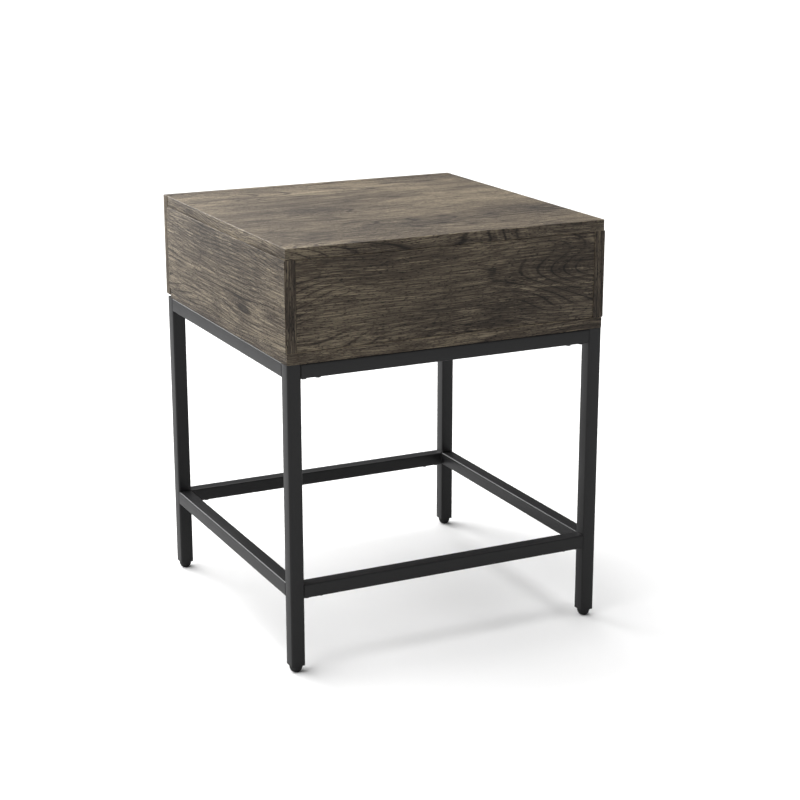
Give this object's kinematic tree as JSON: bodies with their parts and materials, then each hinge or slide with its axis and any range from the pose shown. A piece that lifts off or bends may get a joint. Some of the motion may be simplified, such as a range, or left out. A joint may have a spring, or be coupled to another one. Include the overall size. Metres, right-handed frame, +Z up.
{
  "type": "side table with drawer",
  "caption": "Side table: a boxy wood-laminate case with a push-to-open drawer on an open frame of black square steel tube with levelling feet.",
  "frame": {"origin": "on the floor, under the middle of the table's bounding box", "axes": "+Z up; the drawer opens towards -Y, so the front is -Y and the finished back is +Y; +X is the right of a person who faces the drawer"},
  "size_m": [0.458, 0.445, 0.559],
  "materials": {
    "wood_laminate": "dark grey-brown wood-grain laminate on board, matt",
    "drawer_board": "plain dark laminate on board, matt",
    "hardboard": "thin hardboard with a plain dark face",
    "black_steel": "matt black powder coat on steel tube",
    "black_screw": "black oxide socket-head fasteners",
    "zinc_steel": "bright zinc-plated sheet steel",
    "black_plastic": "moulded black plastic, matt",
    "grey_plastic": "moulded grey plastic, matt"
  },
  "bodies": {
    "table": {"leg_front_left": "black_steel", "leg_front_right": "black_steel", "leg_back_left": "black_steel", "leg_back_right": "black_steel", "upper_crossbar_front": "black_steel", "upper_crossbar_back": "black_steel", "upper_rail_left": "black_steel", "upper_rail_right": "black_steel", "lower_crossbar_front": "black_steel", "lower_crossbar_back": "black_steel", "lower_rail_left": "black_steel", "lower_rail_right": "black_steel", "upper_front_left_screw_1": "black_screw", "upper_front_left_screw_2": "black_screw", "upper_front_right_screw_1": "black_screw", "upper_front_right_screw_2": "black_screw", "upper_back_left_screw_1": "black_screw", "upper_back_left_screw_2": "black_screw", "upper_back_right_screw_1": "black_screw", "upper_back_right_screw_2": "black_screw", "lower_front_left_screw_1": "black_screw", "lower_front_left_screw_2": "black_screw", "lower_front_right_screw_1": "black_screw", "lower_front_right_screw_2": "black_screw", "lower_back_left_screw_1": "black_screw", "lower_back_left_screw_2": "black_screw", "lower_back_right_screw_1": "black_screw", "lower_back_right_screw_2": "black_screw", "case_bolt_front_left": "black_screw", "case_bolt_front_right": "black_screw", "case_bolt_back_left": "black_screw", "case_bolt_back_right": "black_screw", "tube_insert_front_left": "black_plastic", "tube_insert_front_right": "black_plastic", "tube_insert_back_left": "black_plastic", "tube_insert_back_right": "black_plastic", "top_panel": "wood_laminate", "bottom_panel": "wood_laminate", "side_panel_left": "wood_laminate", "side_panel_right": "wood_laminate", "back_panel": "wood_laminate", "slide_outer_left": "zinc_steel", "slide_outer_right": "zinc_steel", "latch_housing": "grey_plastic"},
    "drawer": {"drawer_front": "wood_laminate", "drawer_side_left": "drawer_board", "drawer_side_right": "drawer_board", "drawer_back": "drawer_board", "drawer_bottom": "hardboard", "slide_inner_left": "zinc_steel", "slide_inner_right": "zinc_steel", "latch_striker": "zinc_steel"},
    "slide_middle_left": {"slide_middle_left": "zinc_steel"},
    "slide_middle_right": {"slide_middle_right": "zinc_steel"},
    "latch_plunger": {"latch_plunger": "grey_plastic"},
    "levelling_foot_front_left": {"levelling_foot_front_left": "black_plastic"},
    "levelling_foot_front_right": {"levelling_foot_front_right": "black_plastic"},
    "levelling_foot_back_left": {"levelling_foot_back_left": "black_plastic"},
    "levelling_foot_back_right": {"levelling_foot_back_right": "black_plastic"}
  },
  "joints": [
    {"name": "drawer_slide", "type": "slide", "parent": "table", "child": "drawer", "axis": [0, -1, 0], "range_m": [-0.002, 0.3]},
    {"name": "slide_middle_left_travel", "type": "slide", "parent": "table", "child": "slide_middle_left", "axis": [0, -1, 0], "range_m": [-0.001, 0.15]},
    {"name": "slide_middle_right_travel", "type": "slide", "parent": "table", "child": "slide_middle_right", "axis": [0, -1, 0], "range_m": [-0.001, 0.15]},
    {"name": "latch_press", "type": "slide", "parent": "table", "child": "latch_plunger", "axis": [0, 1, 0], "range_m": [0, 0.002], "stiffness_N_per_m": 600},
    {"name": "levelling_front_left", "type": "slide", "parent": "table", "child": "levelling_foot_front_left", "axis": [0, 0, -1], "range_m": [0, 0.01]},
    {"name": "levelling_front_right", "type": "slide", "parent": "table", "child": "levelling_foot_front_right", "axis": [0, 0, -1], "range_m": [0, 0.01]},
    {"name": "levelling_back_left", "type": "slide", "parent": "table", "child": "levelling_foot_back_left", "axis": [0, 0, -1], "range_m": [0, 0.01]},
    {"name": "levelling_back_right", "type": "slide", "parent": "table", "child": "levelling_foot_back_right", "axis": [0, 0, -1], "range_m": [0, 0.01]}
  ],
  "couplings": [
    {"joint": "slide_middle_left_travel", "follows": "drawer_slide", "ratio": 0.5},
    {"joint": "slide_middle_right_travel", "follows": "drawer_slide", "ratio": 0.5}
  ]
}
